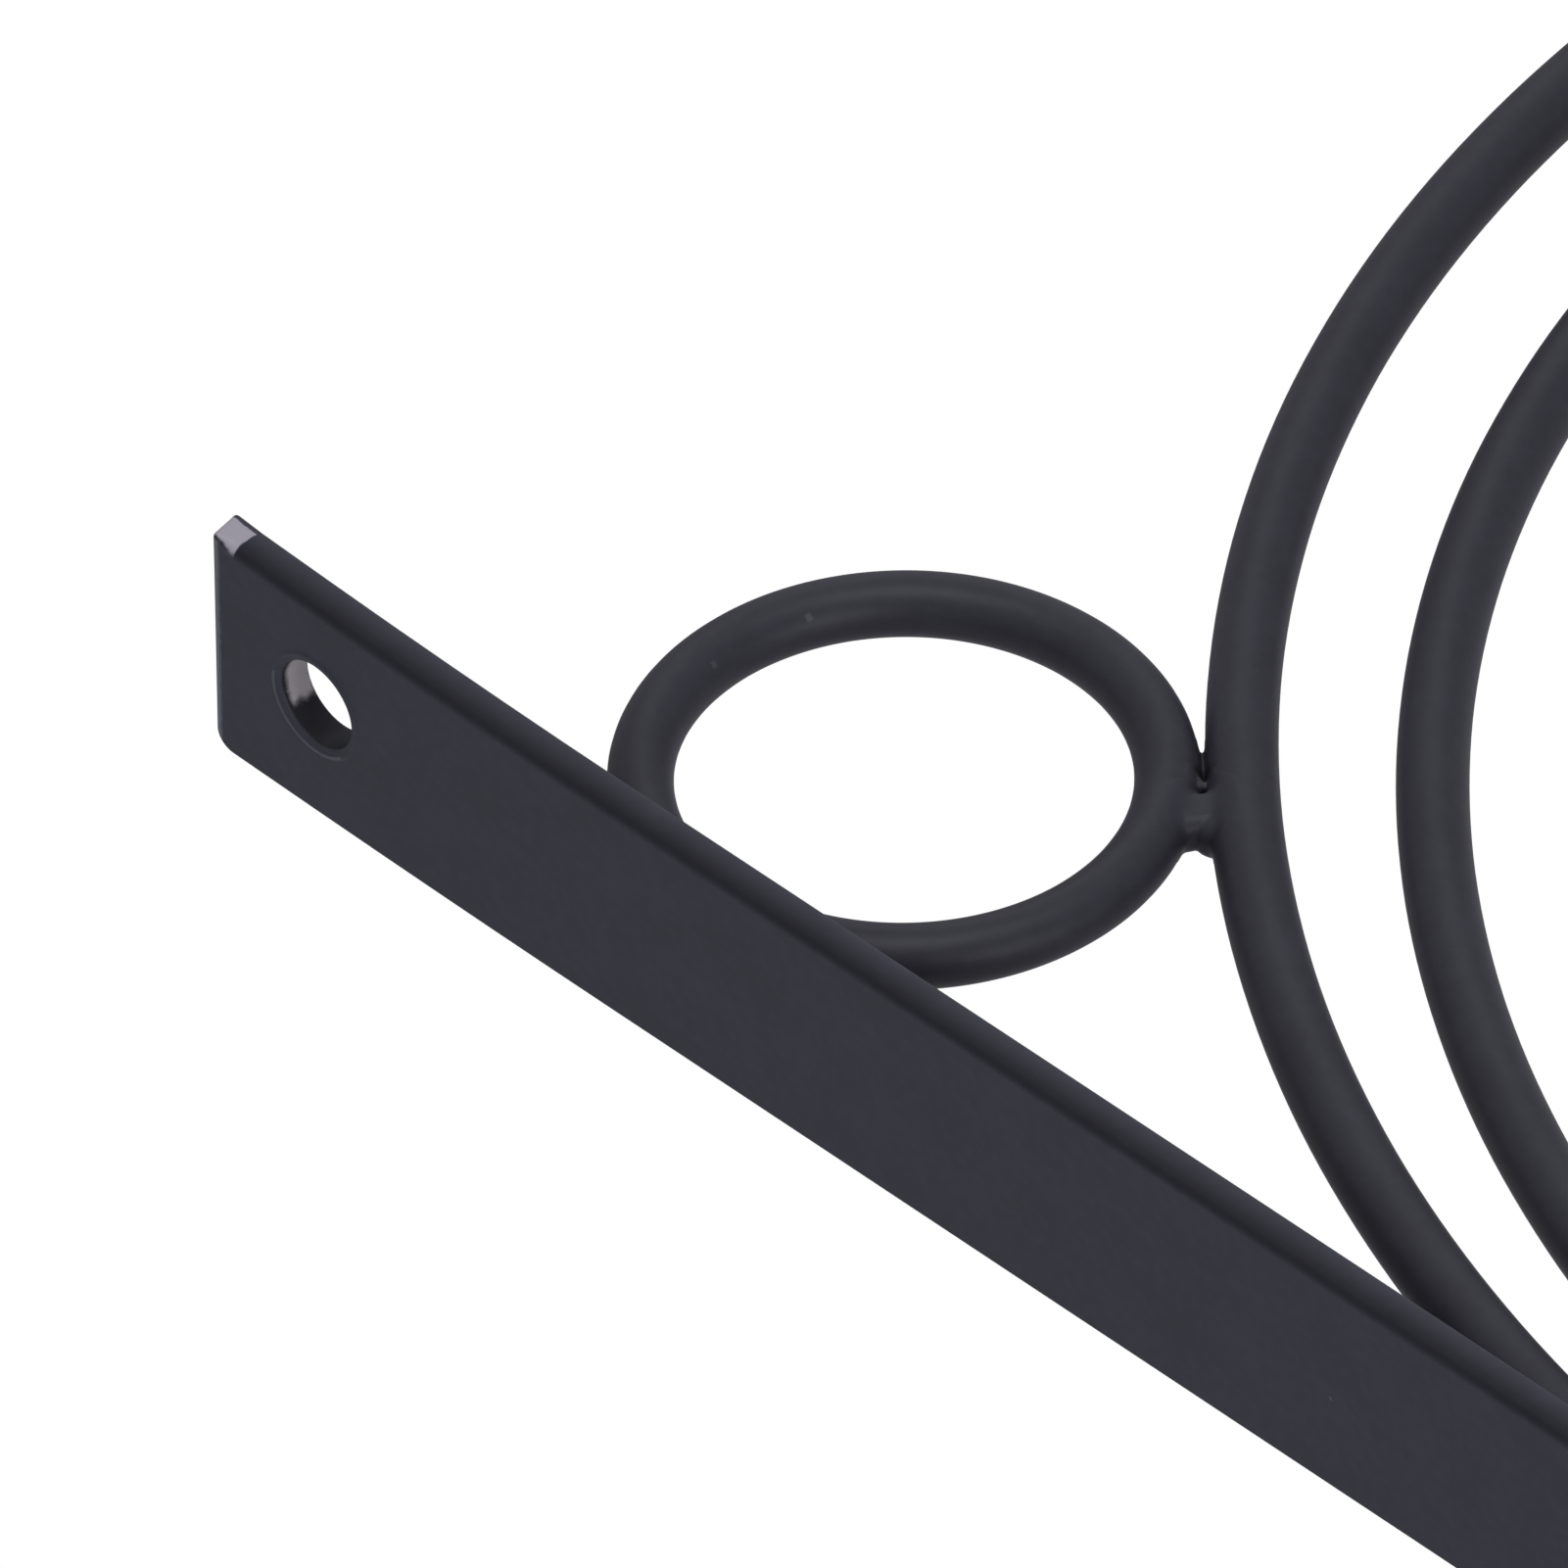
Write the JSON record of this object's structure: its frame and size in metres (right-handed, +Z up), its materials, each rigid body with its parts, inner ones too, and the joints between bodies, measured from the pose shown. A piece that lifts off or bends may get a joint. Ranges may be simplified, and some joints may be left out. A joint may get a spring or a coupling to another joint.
{
  "type": "plant hanger bracket",
  "caption": "Black coated steel wall bracket for a hanging plant: wall bar, arm with hook, nested rings between them.",
  "frame": {"origin": "on the wall, at the middle of the wall bar's back face", "axes": "+X out from the wall along the arm, +Y across the wall bar, +Z up"},
  "size_m": [0.3284, 0.02, 0.32],
  "materials": {
    "wall_bar": "satin charcoal black powder coat on hot rolled flat bar",
    "arm": "satin charcoal black powder coat on hot rolled flat bar",
    "outer_ring": "satin charcoal black powder coat on round rod",
    "inner_ring": "satin charcoal black powder coat on round rod",
    "small_rings": "satin charcoal black powder coat on round rod",
    "hook": "satin charcoal black powder coat on round rod"
  },
  "bodies": {
    "root": {"wall_bar": "wall_bar", "arm": "arm", "outer_ring": "outer_ring", "inner_ring": "inner_ring", "wall_small_ring": "small_rings", "arm_small_ring": "small_rings", "hook": "hook"}
  },
  "joints": []
}
